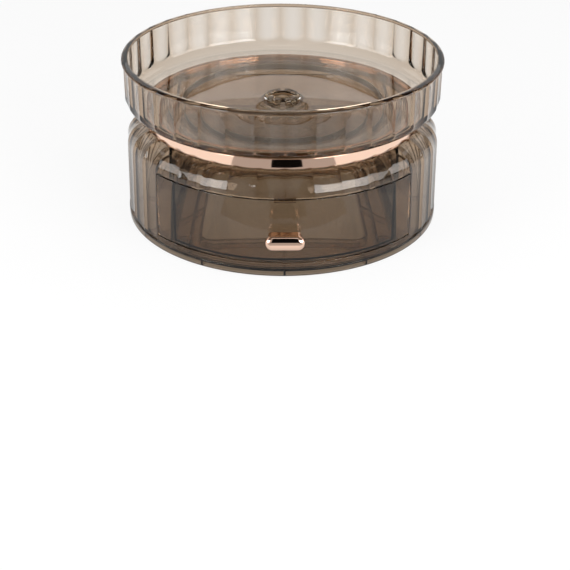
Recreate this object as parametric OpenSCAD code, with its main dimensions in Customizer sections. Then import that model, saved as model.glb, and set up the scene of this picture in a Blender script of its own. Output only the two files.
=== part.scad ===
// Round vanity organizer: a turning tray on a fluted drum that holds one drawer.
// Origin: centre of the footprint, on the surface it stands on. +Z is up.
// The drawer faces -Y and slides out along -Y. The tray turns about Z. Millimetres.

/* [Overall] */
// Diameter over the tray's rim and over the foot
outer_d = 250; // [220:1:280]
// How far the ridges between the flutes lie inside the rim and the foot
crest_inset = 1.3; // [1.2:0.1:3]
// Number of flutes around the drum and the tray
flute_count = 36; // [24:4:48]
// Depth of a flute's hollow below the straight line between its two ridges
flute_depth = 0.4; // [0.2:0.05:0.9]
// Thickness of the moulded walls
wall = 2.2; // [1.6:0.1:2.8]
// Gap between parts that slide past each other
slide_gap = 0.3; // [0.2:0.05:0.6]
// Gap between pieces that are glued or staked together
seat_gap = 0.1; // [0.05:0.01:0.2]
// Radial gap of the tray on its pivot
pivot_gap = 0.08; // [0.05:0.01:0.1]

/* [Foot] */
// Height of the foot plate's skirt
plate_h = 5.4; // [4.5:0.1:8]
// Thickness of the foot plate's web
plate_web = 2.2; // [1.6:0.1:3]
// Number of radial ribs under the foot plate
rib_count = 12; // [8:4:16]
// Thickness of a radial rib
rib_t = 1.6; // [1.2:0.1:2.4]
// Width of the rounded window in the foot plate
window_w = 125; // [90:1:130]
// Front edge of the window, measured from the axis
window_front = 80; // [50:1:85]
// Rear edge of the window, measured from the axis
window_rear = 60; // [30:1:80]
// Corner radius of the window
window_r = 9; // [5:0.5:16]
// Height of the raised border around the window
window_rim = 1.8; // [1:0.1:3]
// Height of the ring that centres the drum on the foot plate
locate_h = 2; // [1.5:0.1:3]
// Thickness of that ring
locate_t = 1.6; // [1.2:0.1:2.4]
// Diameter of a foot pad
pad_d = 12; // [8:1:16]
// Thickness of a foot pad
pad_t = 1.8; // [1.4:0.1:2.6]
// How far a foot pad stands below the skirt
pad_proud = 0.6; // [0.4:0.1:1]
// Distance of the pads' middles from the skirt's edge
pad_inset = 17; // [13:1:27]

/* [Drum] */
// Height of the sill under the drawer's front
sill_h = 5.4; // [4:0.1:9]
// Taper of the drum: how much its radius shrinks from foot to shoulder
drum_taper = 1.2; // [0:0.1:1.2]
// Radius of the rounded shoulder
shoulder_r = 18.6; // [12:0.1:20]
// How far below the top of the drawer's opening the shoulder starts to curve
shoulder_drop = 1; // [0.5:0.1:3]
// How far the neck that carries the trim ring lies inside the ridges
neck_inset = 16.7; // [15.7:0.1:27]
// Height of the neck above the shoulder
neck_h = 6.2; // [5:0.1:9]
// Distance from the middle to each side wall of the drawer bay
bay_half_w = 83; // [72:0.5:84]
// Free depth behind the closed drawer
rear_space = 3; // [1:0.5:8]
// Width of the tab that the closed drawer's front meets
catch_w = 16; // [8:1:30]
// How far that tab hangs behind the top edge of the front
catch_drop = 3; // [1.5:0.1:3.6]

/* [Drawer] */
// Height of the drawer's curved front
front_h = 50; // [40:1:60]
// Half of the angle that the drawer's front covers
front_half_angle = 50.4; // [47:0.1:53]
// Thickness of the drawer's front
front_t = 2.5; // [2:0.1:3]
// How far the front lies behind the ridges
front_set = 0.2; // [0:0.05:0.6]
// Gap around the drawer's front
front_gap = 0.6; // [0.4:0.1:1]
// Thickness of the drawer's floor and walls
drawer_wall = 1.8; // [1.5:0.1:2.5]
// Distance from the axis to the back of the drawer
drawer_rear = 60; // [40:1:68]
// Gap between the drawer and each side wall of its bay
side_gap = 1; // [0.8:0.05:1.5]
// Radius of the drawer's rear corners
drawer_corner = 10; // [5:0.5:15]
// How far the side walls end below the top of the front
side_drop = 4; // [3.7:0.1:8]
// Distance from each side wall of the bay to the middle of its runner
runner_inset = 13; // [8:0.5:17]
// How far the runners stand above the sill
runner_step = 0.8; // [0.5:0.1:2.5]
// How far the drawer's lugs and the bay's stops stand out of their walls
stop_lug = 0.7; // [0.6:0.05:0.7]
// Length of a lug and of a stop along the travel
stop_l = 2.2; // [1.5:0.1:4]
// Height of a lug and of a stop
stop_h = 6; // [4:0.5:12]

/* [Knob] */
// Width of the knob's head
knob_w = 29; // [22:0.5:36]
// Height of the knob's head
knob_h = 11; // [9:0.5:14]
// Thickness of the knob's head
knob_t = 8; // [6.5:0.5:10]
// Radius of the head's rounded edge
knob_edge = 3.6; // [2:0.1:3.8]
// Length of the stem between the drawer's front and the head
stem_len = 6; // [4:0.5:9]
// How much narrower the stem is than the head, on each side
stem_inset = 2.2; // [1.2:0.1:2.6]
// Height of the knob's middle above the bottom edge of the front
knob_z = 21.5; // [15:0.5:30]
// Diameter of the two pegs that fix the knob
peg_d = 3; // [2.4:0.1:4]
// How far the pegs stand out inside the drawer
peg_tail = 1; // [0.5:0.1:2]

/* [Tray] */
// Height of the tray
tray_h = 39.6; // [30:0.2:60]
// Thickness of the tray's floor
tray_floor = 2; // [1.6:0.1:2.8]
// Radius of the rounded bottom edge outside
tray_fillet = 12; // [8:0.5:16]
// Height of the plain band at the rim
lip_h = 3; // [2.4:0.1:5]
// Width of the plain band at the rim, out to in
lip_w = 5; // [5:0.1:7]
// Thickness of the band where it overhangs the wall inside
lip_roof = 2; // [1.2:0.1:2.2]

/* [Turntable] */
// Space between the deck and the tray's floor
bearing_space = 4; // [3.6:0.1:6]
// Radius of the glide ring's middle
glide_r = 78.5; // [60:0.5:90]
// Width of the glide ring
glide_w = 2.4; // [1.8:0.1:4]
// Depth of the groove that holds the glide ring
glide_groove = 0.6; // [0.4:0.1:1]
// Radius of the pivot's round post
post_r = 12.9; // [10.5:0.1:15]
// Thickness of the four prongs
prong_t = 5.4; // [3.5:0.1:5.4]
// How far the hooks reach over the tray's floor
hook_reach = 1.7; // [1:0.1:2.4]
// Height of the hooks
hook_h = 2; // [1.5:0.1:3]
// Width of the slots between the prongs
slot_w = 3.6; // [2.5:0.1:5]
// Radius of the pivot's flange
flange_r = 19.4; // [19:0.1:24]
// Thickness of the pivot's flange
flange_t = 1.6; // [1.2:0.1:2]
// Radius of the pivot's spigot in the deck
spigot_r = 10; // [8:0.1:10.4]
// Thickness of the staked head under the deck
stake_t = 1.2; // [0.8:0.1:2]
// How far the staked head reaches beyond the spigot
stake_reach = 1.4; // [0.8:0.1:2]
// Radius of the hole through the pivot
pivot_hole_r = 5; // [3:0.1:5]
// Thickness of the collar under the tray's floor, around the post
collar_t = 3.5; // [2:0.1:4]

/* [Trim ring] */
// Wall of the plated ring
trim_t = 2.2; // [1.6:0.1:3]
// Width of the ring's flange on the deck
trim_flange = 5.4; // [4:0.1:8]
// Thickness of the ring's flange
trim_flange_t = 1.4; // [1:0.1:1.8]

/* [Hidden] */

$fn = 180;
// How far a wall runs into the one that carries it
fuse = 0.5;
// How far a cutting shape runs past the face that it opens
past = 1;
eps = 0.01;
SMOKE = [0.45, 0.40, 0.34, 0.6];
ROSE_GOLD = [0.91, 0.63, 0.48];
CLEAR = [0.85, 0.85, 0.83, 0.8];

rim_r = outer_d/2;
crest_r = rim_r - crest_inset;

// A flute is a shallow arc between two ridges: radius of its deepest line, its own radius and its centre
half_chord = crest_r*sin(180/flute_count);
valley_r = crest_r*cos(180/flute_count) - flute_depth;
hollow_r = (pow(half_chord, 2) + pow(flute_depth, 2))/(2*flute_depth);
hollow_axis = valley_r + hollow_r;
flute_drop = crest_r - valley_r;

// Levels from the ground up
z_skirt = pad_proud;
z_plate = z_skirt + plate_h;
z_open_low = z_plate + sill_h;
z_front = z_open_low + front_gap;
z_runner = z_open_low + runner_step;
z_drawer = z_runner + slide_gap;
z_front_top = z_front + front_h;
z_drawer_top = z_front_top - side_drop;
z_open_top = z_front_top + front_gap;
z_shoulder = z_open_top - shoulder_drop;
z_deck = z_shoulder + shoulder_r + neck_h;
z_deck_under = z_deck - wall;
z_flange = z_deck + seat_gap;
z_tray = z_deck + bearing_space;
z_tray_floor = z_tray + tray_floor;
z_rim = z_tray + tray_h;

// Radii of the drum
drum_foot_r = crest_r + drum_taper;
cavity_foot_r = drum_foot_r - flute_drop - wall;
cavity_r = valley_r - wall;
shoulder_axis_r = crest_r - shoulder_r;
neck_r = crest_r - neck_inset;
trim_bore_r = neck_r + seat_gap;
trim_r = trim_bore_r + trim_t;
shelf_z = z_shoulder + sqrt(pow(shoulder_r, 2) - pow(trim_r - shoulder_axis_r, 2));
open_half_angle = front_half_angle + asin(front_gap/rim_r);

// The drawer and its bay
front_r = crest_r - front_set;
front_in_r = front_r - front_t;
taper_rate = drum_taper/(z_shoulder - z_plate);
front_foot_r = front_r + front_h*taper_rate;
bay_face_y = cavity_r*cos(open_half_angle) - slide_gap;
bay_rear = drawer_rear + rear_space;
drawer_half_w = bay_half_w - side_gap;
knob_axis_z = z_front + knob_z;
// On a thin or low head the rounded edge is smaller, so that a narrow flat stays
head_flat = 0.4;
head_edge = min(knob_edge, (min(knob_t, knob_h) - head_flat)/2);

// The drawer stops when its lugs meet the ribs just inside the bay's mouth
mouth_inset = 1;
stop_y = -bay_face_y + mouth_inset;
lug_y = drawer_rear - drawer_corner - stop_l;
travel = lug_y - stop_y - stop_l - slide_gap;

// Radius of the fluted outline in the direction that lies "off" degrees from a flute's middle
function fluted_radius(off) =
    hollow_axis*cos(off) - sqrt(pow(hollow_r, 2) - pow(hollow_axis*sin(off), 2));

// Fluted disc, with a ridge towards -Y
module fluted_disc() {
    difference() {
        circle(r = crest_r + past);
        for (i = [0:flute_count - 1]) rotate(-90 + (i + 0.5)*360/flute_count) intersection() {
            translate([hollow_axis, 0]) circle(r = hollow_r, $fn = 4*$fn);
            translate([valley_r - past, -half_chord - fuse]) square([flute_drop + 3*past, 2*(half_chord + fuse)]);
        }
    }
}

// Fluted prism whose lower edge is rounded; the flutes run out into the round
module fluted_body(z, h, fillet) {
    run_out = 0.5;
    round_r = crest_r + run_out - fillet;
    difference() {
        translate([0, 0, z]) linear_extrude(h) fluted_disc();
        rotate_extrude() difference() {
            translate([round_r, z - past]) square([2*fillet, fillet + past]);
            translate([round_r, z + fillet]) circle(r = fillet);
        }
    }
}

// Plain round hollow with a rounded lower edge
module bowl_hollow(r, z, h, fillet) {
    translate([0, 0, z]) rotate_extrude() {
        square([r - fillet, h]);
        translate([0, fillet]) square([r, h - fillet]);
        intersection() {
            translate([r - fillet, fillet]) circle(r = fillet);
            square([r, fillet]);
        }
    }
}

// Rounded rectangle from low corner a to high corner b
module round_rect(a, b, r) {
    translate([a[0] + r, a[1]]) square([b[0] - a[0] - 2*r, b[1] - a[1]]);
    translate([a[0], a[1] + r]) square([b[0] - a[0], b[1] - a[1] - 2*r]);
    for (x = [a[0] + r, b[0] - r], y = [a[1] + r, b[1] - r]) translate([x, y]) circle(r = r);
}

// Plain ring between two radii, from level z upwards
module ring(r1, r2, z, h) {
    translate([0, 0, z]) difference() {
        cylinder(r = r2, h = h);
        translate([0, 0, -past]) cylinder(r = r1, h = h + 2*past);
    }
}

// A solid swept about the axis over the front: its section is given as points [radius, level]
module front_sweep(section, half_angle) {
    rotate(-90 - half_angle) rotate_extrude(angle = 2*half_angle) polygon(section);
}

function section_box(r1, r2, z1, z2) = [[r1, z1], [r2, z1], [r2, z2], [r1, z2]];

// The same shape on the left and on the right
module both_sides() {
    for (side = [0, 1]) mirror([side, 0, 0]) children();
}

module foot_plate() {
    z_top = z_plate + window_rim;
    color(SMOKE) difference() {
        union() {
            difference() {
                translate([0, 0, z_skirt]) cylinder(r = rim_r, h = plate_h);
                translate([0, 0, z_skirt - past]) cylinder(r = rim_r - wall, h = plate_h - plate_web + past);
            }
            radial_ribs();
            // Border around the window
            translate([0, 0, z_skirt]) linear_extrude(z_top - z_skirt)
                round_rect([-window_w/2 - wall, -window_front - wall],
                    [window_w/2 + wall, window_rear + wall], window_r + wall);
            at_pads() translate([0, 0, z_skirt]) cylinder(r = pad_d/2 + wall, h = plate_h - plate_web + fuse);
            locating_ring();
            both_sides() runner();
        }
        translate([0, 0, -past]) linear_extrude(z_top + 2*past)
            round_rect([-window_w/2, -window_front], [window_w/2, window_rear], window_r);
        at_pads() translate([0, 0, -past]) cylinder(r = pad_d/2 + seat_gap, h = pad_t + past);
    }
}

module at_pads() {
    for (i = [0:3]) rotate(45 + 90*i) translate([rim_r - pad_inset, 0, 0]) children();
}

module radial_ribs() {
    intersection() {
        translate([0, 0, z_skirt]) cylinder(r = rim_r - eps, h = plate_h - plate_web + fuse);
        for (i = [0:rib_count - 1]) rotate(i*360/rib_count - 90)
            translate([0, -rib_t/2, 0]) cube([rim_r, rib_t, z_plate]);
    }
}

// Low ring inside the drum's wall that centres the drum on the plate
module locating_ring() {
    r = cavity_foot_r - slide_gap;
    difference() {
        ring(r - locate_t, r, z_plate - fuse, locate_h + fuse);
        // Left open where the drawer bay's front walls come down
        both_sides() translate([bay_half_w, -bay_face_y - past, z_plate - past])
            cube([rim_r - bay_half_w, wall + 2*past, locate_h + 2*past]);
    }
}

// Rail under the drawer, from the sill towards the back
module runner() {
    intersection() {
        translate([bay_half_w - runner_inset - wall/2, -rim_r, z_plate - fuse])
            cube([wall, rim_r + drawer_rear, z_runner - z_plate + fuse]);
        // It ends behind the drum's wall and behind the drawer's front
        cylinder(r = min(cavity_foot_r, front_in_r) - slide_gap, h = z_runner + past);
    }
}

module foot_pads() {
    color(CLEAR) at_pads() cylinder(d = pad_d, h = pad_t);
}

// Outer skin of the drum: the flutes run up the wall and over the shoulder to the neck
module fluted_drum() {
    steps = 8;
    per_flute = 4;
    last = acos((trim_r - shoulder_axis_r)/shoulder_r);
    rings = concat([[drum_foot_r, z_plate]],
        [for (k = [0:steps]) let (a = last*k/steps)
            [shoulder_axis_r + shoulder_r*cos(a), z_shoulder + shoulder_r*sin(a)]]);
    count = flute_count*per_flute;
    outline = [for (j = [0:count - 1])
        let (off = (j % per_flute)*360/count - 180/flute_count)
        fluted_radius(off)/crest_r];
    points = [for (ring = rings, j = [0:count - 1])
        let (a = -90 + j*360/count)
        [ring[0]*outline[j]*cos(a), ring[0]*outline[j]*sin(a), ring[1]]];
    sides = [for (k = [0:len(rings) - 2], j = [0:count - 1])
        let (n = (j + 1) % count)
        [k*count + n, k*count + j, (k + 1)*count + j, (k + 1)*count + n]];
    top = (len(rings) - 1)*count;
    polyhedron(points, concat(sides,
        [[for (j = [0:count - 1]) j]],
        [[for (j = [count - 1:-1:0]) top + j]]), convexity = 6);
}

// Hollow of the drum; grow moves its wall outwards
module drum_cavity(grow = 0) {
    arc_r = shoulder_r - flute_drop - wall + grow;
    // A flat ceiling cuts the round off this far below its top
    crease = 0.4;
    ceiling = z_shoulder + arc_r - crease;
    rotate_extrude() {
        polygon([[0, z_plate - past], [cavity_foot_r + grow, z_plate - past],
            [cavity_foot_r + grow, z_plate], [cavity_r + grow, z_shoulder], [0, z_shoulder]]);
        square([shoulder_axis_r, ceiling]);
        intersection() {
            translate([shoulder_axis_r, z_shoulder]) circle(r = arc_r);
            square([rim_r, ceiling]);
        }
        square([neck_r - wall, z_deck_under + grow]);
    }
}

// The plain band under the drawer's opening, which has no flutes
module sill() {
    proud = 0.1;
    inner_r = cavity_foot_r + 4*proud;
    section = [[inner_r, z_plate], [drum_foot_r + proud, z_plate],
        [drum_foot_r + proud - sill_h*taper_rate, z_open_low], [inner_r, z_open_low]];
    front_sweep(section, open_half_angle + 3*proud);
}

// Walls of the drawer bay, seen from above
module bay_plan() {
    both_sides() {
        translate([bay_half_w, -bay_face_y]) square([wall, bay_face_y + bay_rear]);
        translate([bay_half_w, -bay_face_y]) square([rim_r - bay_half_w, wall]);
    }
    translate([-bay_half_w - wall, bay_rear]) square([2*(bay_half_w + wall), wall]);
}

module drum_shell() {
    color(SMOKE) difference() {
        union() {
            difference() {
                fluted_drum();
                drum_cavity();
                front_sweep(section_box(cavity_r - shoulder_r/2, rim_r + past, z_plate - past, z_open_top),
                    open_half_angle);
            }
            // Neck and deck
            rotate_extrude() polygon([[0, z_deck_under], [neck_r - wall, z_deck_under],
                [neck_r - wall, shelf_z - past], [neck_r, shelf_z - past], [neck_r, z_deck], [0, z_deck]]);
            intersection() {
                translate([0, 0, z_plate + seat_gap]) linear_extrude(z_deck) bay_plan();
                drum_cavity(fuse);
            }
            both_sides() translate([bay_half_w - stop_lug, stop_y, z_drawer_top - stop_h])
                cube([stop_lug + fuse, stop_l, stop_h]);
            closing_catch();
            sill();
        }
        translate([0, 0, z_deck_under - past]) cylinder(r = spigot_r + seat_gap, h = wall + 2*past);
        ring(glide_r - glide_w/2 - seat_gap, glide_r + glide_w/2 + seat_gap, z_deck - glide_groove, past);
    }
}

// Tab behind the top edge of the drawer's front, hung from the shoulder
module closing_catch() {
    r = front_in_r - slide_gap;
    intersection() {
        front_sweep(section_box(r - wall, r, z_front_top - catch_drop, z_deck), asin(catch_w/2/r));
        drum_cavity(fuse);
    }
}

// Outline of the drawer seen from above; inset moves the sides and the back inwards
module drawer_plan(inset) {
    intersection() {
        circle(r = front_in_r + fuse + inset);
        round_rect([-drawer_half_w + inset, -rim_r - drawer_corner],
            [drawer_half_w - inset, drawer_rear - inset], drawer_corner - inset);
    }
}

module drawer_box() {
    height = z_drawer_top - z_drawer;
    // The curved front tapers like the drum
    front = [[front_in_r, z_front], [front_foot_r, z_front], [front_r, z_front_top],
        [front_in_r, z_front_top]];
    color(SMOKE) difference() {
        union() {
            front_sweep(front, front_half_angle);
            difference() {
                translate([0, 0, z_drawer]) linear_extrude(height) drawer_plan(0);
                translate([0, 0, z_drawer + drawer_wall]) linear_extrude(height) drawer_plan(drawer_wall);
            }
            both_sides() translate([drawer_half_w - fuse, lug_y, z_drawer_top - stop_h])
                cube([fuse + stop_lug, stop_l, stop_h]);
        }
        at_pegs() rotate([-90, 0, 0]) cylinder(r = peg_d/2 + seat_gap, h = 4*front_t, center = true, $fn = 32);
    }
}

module at_pegs() {
    for (x = [-1, 1]) translate([x*knob_w/4, -front_r, knob_axis_z]) children();
}

// Solid of a stadium outline with rounded edges; it grows from y = 0 towards -Y
module pill(w, h, t, edge) {
    rotate([90, 0, 0]) {
        for (x = [-1, 1]) translate([x*(w - h)/2, 0, 0]) rotate_extrude() intersection() {
            round_rect([-h/2, 0], [h/2, t], edge);
            square([h, t]);
        }
        rotate([90, 0, 90]) linear_extrude(w - h, center = true) round_rect([-h/2, 0], [h/2, t], edge);
    }
}

module drawer_knob() {
    head_y = -front_foot_r - stem_len;
    core_y = head_y - knob_t/2;
    stem_h = knob_h - 2*stem_inset;
    color(ROSE_GOLD) union() {
        translate([0, head_y, knob_axis_z]) pill(knob_w, knob_h, knob_t, head_edge);
        // The stem's back is cut to the curve of the drawer's front
        difference() {
            translate([0, core_y, knob_axis_z]) rotate([-90, 0, 0]) linear_extrude(stem_len + knob_t) {
                square([knob_w - knob_h, stem_h], center = true);
                for (x = [-1, 1]) translate([x*(knob_w - knob_h)/2, 0]) circle(d = stem_h);
            }
            translate([0, 0, z_front])
                cylinder(r1 = front_foot_r + seat_gap, r2 = front_r + seat_gap, h = front_h);
        }
        at_pegs() translate([0, core_y + front_r, 0]) rotate([-90, 0, 0])
            cylinder(d = peg_d, h = -front_in_r + peg_tail - core_y, $fn = 32);
    }
}

module trim_ring() {
    low = shelf_z + seat_gap;
    high = z_flange + trim_flange_t;
    color(ROSE_GOLD) rotate_extrude() {
        translate([trim_bore_r, low]) square([trim_t, high - low]);
        translate([trim_r - trim_flange, z_flange]) square([trim_flange, trim_flange_t]);
    }
}

module glide_ring() {
    low = z_deck - glide_groove + seat_gap;
    color(CLEAR) ring(glide_r - glide_w/2, glide_r + glide_w/2, low, z_tray - slide_gap - low);
}

// Snap pivot: a flange on the deck, a spigot staked under it, and four hooked prongs through the tray
module pivot_clip() {
    z_hook = z_tray_floor + slide_gap;
    z_stake = z_deck_under - seat_gap - stake_t;
    z_top = z_hook + hook_h;
    color(CLEAR) difference() {
        union() {
            translate([0, 0, z_flange]) cylinder(r = flange_r, h = flange_t);
            translate([0, 0, z_stake]) cylinder(r = spigot_r + stake_reach, h = stake_t);
            translate([0, 0, z_stake]) cylinder(r = spigot_r, h = z_flange - z_stake + fuse);
            translate([0, 0, z_flange]) cylinder(r = post_r, h = z_top - z_flange);
            translate([0, 0, z_hook]) cylinder(r1 = post_r + hook_reach, r2 = post_r + hook_reach/4, h = hook_h);
        }
        translate([0, 0, z_stake - past]) cylinder(r = pivot_hole_r, h = z_top);
        // Slots from side to side leave a star of light between the prongs
        translate([0, 0, z_flange + flange_t]) linear_extrude(z_top) {
            for (a = [0, 90]) rotate(a) square([2*flange_r, slot_w], center = true);
            circle(r = post_r - prong_t);
        }
    }
}

module tray_bowl() {
    z_collar = z_flange + flange_t + slide_gap;
    color(SMOKE) difference() {
        union() {
            fluted_body(z_tray, tray_h - lip_h + fuse, tray_fillet);
            translate([0, 0, z_rim - lip_h]) cylinder(r = rim_r, h = lip_h);
            // Collar under the floor that lengthens the bearing on the pivot
            translate([0, 0, z_collar]) cylinder(r = post_r + collar_t, h = z_tray_floor - z_collar);
        }
        bowl_hollow(valley_r - wall, z_tray_floor, z_rim - lip_roof - z_tray_floor, tray_fillet - wall);
        translate([0, 0, z_rim - lip_roof - past]) cylinder(r = rim_r - lip_w, h = lip_roof + 2*past);
        translate([0, 0, z_deck]) cylinder(r = post_r + pivot_gap, h = tray_h);
    }
}

foot_plate();
foot_pads();
drum_shell();
drawer_box();
drawer_knob();
trim_ring();
glide_ring();
pivot_clip();
tray_bowl();
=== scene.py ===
"""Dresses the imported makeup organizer: fluted smoke plastic, rose-gold plating, stage and camera.

Lengths are metres. Z is up, the drawer faces -Y, and the tray turns about Z.
"""

import math
from types import SimpleNamespace

import bpy
import numpy as np
from bpy.props import FloatProperty, FloatVectorProperty, IntProperty, PointerProperty
from mathutils import Matrix, Vector


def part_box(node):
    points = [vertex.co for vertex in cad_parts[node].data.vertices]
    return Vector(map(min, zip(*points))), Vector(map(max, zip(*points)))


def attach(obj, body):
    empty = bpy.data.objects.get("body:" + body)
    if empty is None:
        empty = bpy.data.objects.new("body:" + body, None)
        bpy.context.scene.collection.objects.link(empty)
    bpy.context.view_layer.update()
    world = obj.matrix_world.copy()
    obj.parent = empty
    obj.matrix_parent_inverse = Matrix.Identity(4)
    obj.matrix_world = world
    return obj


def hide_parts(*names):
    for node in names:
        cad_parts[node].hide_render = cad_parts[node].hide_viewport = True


bl_info = {
    "name": "Rotating makeup organizer",
    "version": (1, 0, 0),
    "blender": (4, 5, 0),
    "location": "View3D > Sidebar > Organizer",
    "description": "Fluted smoke plastic, rose-gold plating, stage and camera for the packed organizer",
    "category": "Object",
}

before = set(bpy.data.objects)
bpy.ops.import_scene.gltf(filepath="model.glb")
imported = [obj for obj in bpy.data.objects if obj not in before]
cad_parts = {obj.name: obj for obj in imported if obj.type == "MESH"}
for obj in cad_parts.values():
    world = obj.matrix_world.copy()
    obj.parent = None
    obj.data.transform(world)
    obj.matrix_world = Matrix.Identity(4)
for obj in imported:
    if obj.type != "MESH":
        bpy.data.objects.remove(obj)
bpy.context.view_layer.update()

COLUMNS_PER_FLUTE = 18
FRONT = -math.pi / 2
PLASTIC_IOR = 1.5
# The pivot's steps bend the background less than a solid block would
CLEAR_IOR = 1.2
# How far solids reach into each other where they are joined, and past a wall where they are cut
FUSE = 0.0005
PAST = 0.001
# The edges of a turned section, each as the angle in degrees where its rounding starts
OUT_TOP, IN_TOP, IN_LOW, OUT_LOW = 0, 90, 180, 270
# A step that keeps two faces from lying in one plane
NUDGE = 0.00001
# Reach, length and height of the stops in the bay and of the lugs on the drawer that meet them
STOP, STOP_L, STOP_H = 0.0007, 0.0022, 0.006
# The running gap between the tray's bore and the pivot's post
PIVOT_GAP = 0.00008
# Radius of the dome that stands for the room
DOME_R = 6.0


# Settings


def length(name, description, default):
    """A size in metres."""
    return FloatProperty(name=name, description=description, default=default, min=0, unit="LENGTH", precision=5)


def shade(name, description, default):
    """A linear colour."""
    settings = {"subtype": "COLOR", "size": 3, "min": 0, "max": 1}
    return FloatVectorProperty(name=name, description=description, default=default, **settings)


def turn(name, description, degrees):
    """An angle."""
    return FloatProperty(name=name, description=description, default=math.radians(degrees), subtype="ANGLE")


def number(name, description, default):
    """A plain number."""
    return FloatProperty(name=name, description=description, default=default, min=0)


class OrganizerSizes(bpy.types.PropertyGroup):
    """Sizes of the mouldings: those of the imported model, but for the tray's flutes and lip."""

    flutes: IntProperty(name="Flutes", description="Flutes around the drum and the tray", default=36, min=12)
    flute_depth: length("Flute depth", "Depth of a flute's hollow below the line between its ridges", 0.0004)
    tray_flute: length("Tray flute depth", "Depth of the tray's hollows as the photo shows them", 0.001)
    ridge_round: length("Ridge rounding", "How softly two flutes meet", 0.00015)
    crest_inset: length("Ridge inset", "How far the ridges lie inside the rim", 0.0013)
    wall: length("Wall", "Thickness of the moulded walls", 0.0022)
    seat_gap: length("Seat gap", "Gap between pieces that are glued or staked together", 0.0001)
    slide_gap: length("Slide gap", "Gap between pieces that slide past each other", 0.0003)
    edge: length("Edge rounding", "Radius of the small moulded edges", 0.0003)
    plate_web: length("Plate web", "Thickness of the foot plate's web", 0.0022)
    rib: length("Rib", "Thickness of a radial rib under the foot plate", 0.0016)
    ribs: IntProperty(name="Ribs", description="Radial ribs under the foot plate", default=12, min=3)
    window_w: length("Window width", "Width of the rounded window in the foot plate", 0.125)
    window_front: length("Window front", "Front edge of the window, from the axis", 0.080)
    window_rear: length("Window rear", "Rear edge of the window, from the axis", 0.060)
    window_r: length("Window corner", "Corner radius of the window", 0.009)
    window_rim: length("Window border", "Height of the raised border around the window", 0.0018)
    locate_h: length("Locating ring", "Height of the ring that centres the drum", 0.002)
    pad_inset: length("Pad inset", "From the skirt's edge to the middle of a foot pad", 0.017)
    drum_taper: length("Drum taper", "How much the drum's radius shrinks up to the shoulder", 0.0012)
    sill_h: length("Sill", "Height of the plain sill under the drawer", 0.0054)
    shoulder_r: length("Shoulder radius", "Radius of the rounded shoulder", 0.0186)
    shoulder_drop: length("Shoulder drop", "How far the shoulder starts below the opening's top", 0.001)
    neck_inset: length("Neck inset", "How far the neck lies inside the flute crests", 0.0167)
    bay_half_w: length("Bay half width", "From the middle to a side wall of the drawer bay", 0.083)
    rear_space: length("Rear space", "Free depth behind the closed drawer", 0.003)
    front_h: length("Front height", "Height of the drawer's curved front", 0.050)
    front_half_angle: turn("Front half angle", "Half of the angle that the drawer's front covers", 50.4)
    front_t: length("Front thickness", "Thickness of the drawer's front", 0.0025)
    front_set: length("Front set-back", "How far the front lies behind the flute crests", 0.0002)
    front_gap: length("Front gap", "Gap around the drawer's front", 0.0006)
    drawer_wall: length("Drawer wall", "Thickness of the drawer's floor and walls", 0.0018)
    drawer_rear: length("Drawer rear", "From the axis to the back of the drawer", 0.060)
    side_gap: length("Side gap", "Gap between the drawer and its bay", 0.001)
    drawer_corner: length("Drawer corner", "Radius of the drawer's rear corners", 0.010)
    side_drop: length("Side drop", "How far the side walls end below the front's top", 0.004)
    runner_inset: length("Runner inset", "From a side wall of the bay to the middle of its runner", 0.013)
    runner_step: length("Runner step", "How far the runners stand above the sill", 0.0008)
    knob_w: length("Knob width", "Width of the knob's head", 0.029)
    knob_h: length("Knob height", "Height of the knob's head", 0.011)
    knob_t: length("Knob thickness", "Thickness of the knob's head", 0.008)
    knob_edge: length("Knob edge", "Radius of the head's rounded edge", 0.0036)
    stem_len: length("Stem length", "Length of the stem behind the head", 0.006)
    stem_inset: length("Stem inset", "How much narrower the stem is than the head", 0.0022)
    knob_z: length("Knob level", "Height of the knob above the front's bottom edge", 0.0215)
    peg_d: length("Peg diameter", "Diameter of the two pegs that fix the knob", 0.003)
    tray_floor: length("Tray floor", "Thickness of the tray's floor", 0.002)
    tray_fillet: length("Tray cove", "Radius of the tray's rounded bottom edge", 0.012)
    lip_h: length("Lip height", "Height of the plain band at the rim", 0.003)
    lip_w: length("Lip width", "Width of the plain band at the rim", 0.005)
    lip_roof: length("Lip roof", "Thickness of the band over the flutes inside", 0.002)
    lip_fall: length("Lip fall", "How far the lip's rounded top falls outwards", 0.0022)
    lip_fall_w: length("Lip fall width", "Width of that rounding", 0.0042)
    glide_r: length("Glide radius", "Radius of the glide ring's middle", 0.0785)
    glide_w: length("Glide width", "Width of the glide ring", 0.0024)
    groove: length("Glide groove", "Depth of the groove that holds the glide ring", 0.0006)
    post_r: length("Post radius", "Radius of the pivot's post", 0.0129)
    prong_t: length("Prong", "Thickness of the four prongs", 0.0054)
    hook_reach: length("Hook reach", "How far the hooks reach over the tray's floor", 0.0017)
    slot_w: length("Slot width", "Width of the slots between the prongs", 0.0036)
    flange_r: length("Flange radius", "Radius of the pivot's flange", 0.0194)
    flange_t: length("Flange", "Thickness of the pivot's flange", 0.0016)
    spigot_r: length("Spigot radius", "Radius of the pivot's spigot in the deck", 0.010)
    stake_t: length("Stake", "Thickness of the staked head under the deck", 0.0012)
    stake_reach: length("Stake reach", "How far the staked head reaches beyond the spigot", 0.0014)
    pivot_hole_r: length("Pivot hole", "Radius of the hole through the pivot", 0.005)
    collar_t: length("Collar", "Thickness of the collar under the tray, around the post", 0.0035)
    trim_t: length("Trim wall", "Wall of the plated ring", 0.0022)
    trim_flange: length("Trim flange", "Width of the ring's flange on the deck", 0.0054)
    trim_flange_t: length("Trim flange thickness", "Thickness of that flange", 0.0014)


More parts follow.
